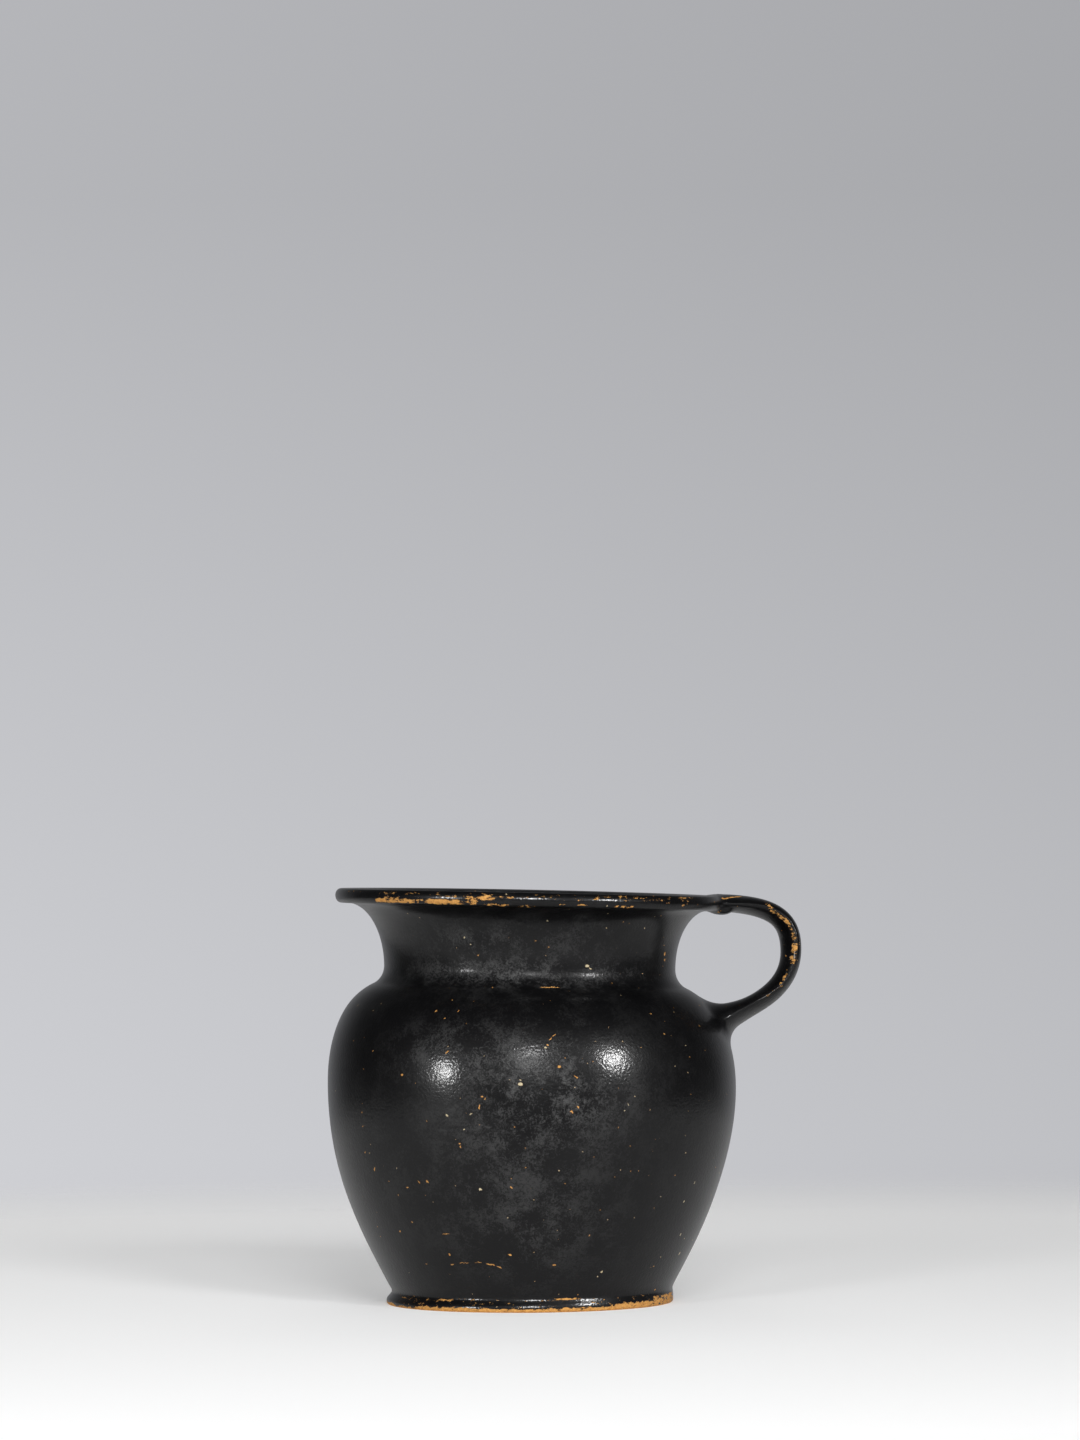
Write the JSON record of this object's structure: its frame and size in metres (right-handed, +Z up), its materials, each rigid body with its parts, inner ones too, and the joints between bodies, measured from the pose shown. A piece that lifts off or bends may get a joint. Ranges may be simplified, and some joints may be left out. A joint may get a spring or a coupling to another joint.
{
  "type": "black-gloss pottery oinochoe",
  "caption": "Small round-bodied pottery pouring mug with a flared flat lip, a low disc foot and a strap handle from lip to shoulder, glossy black and chipped.",
  "frame": {"origin": "centre of the underside of the foot, on the surface that the vessel stands on", "axes": "+Z up, +X towards the handle, +Y to the side away from a viewer who has the handle on the right"},
  "size_m": [0.1158, 0.0994, 0.1013],
  "materials": {
    "black_gloss": "thin lustrous black slip fired on orange clay, worn through to the clay on the lip and foot edges"
  },
  "bodies": {
    "root": {"oinochoe": "black_gloss"}
  },
  "joints": []
}
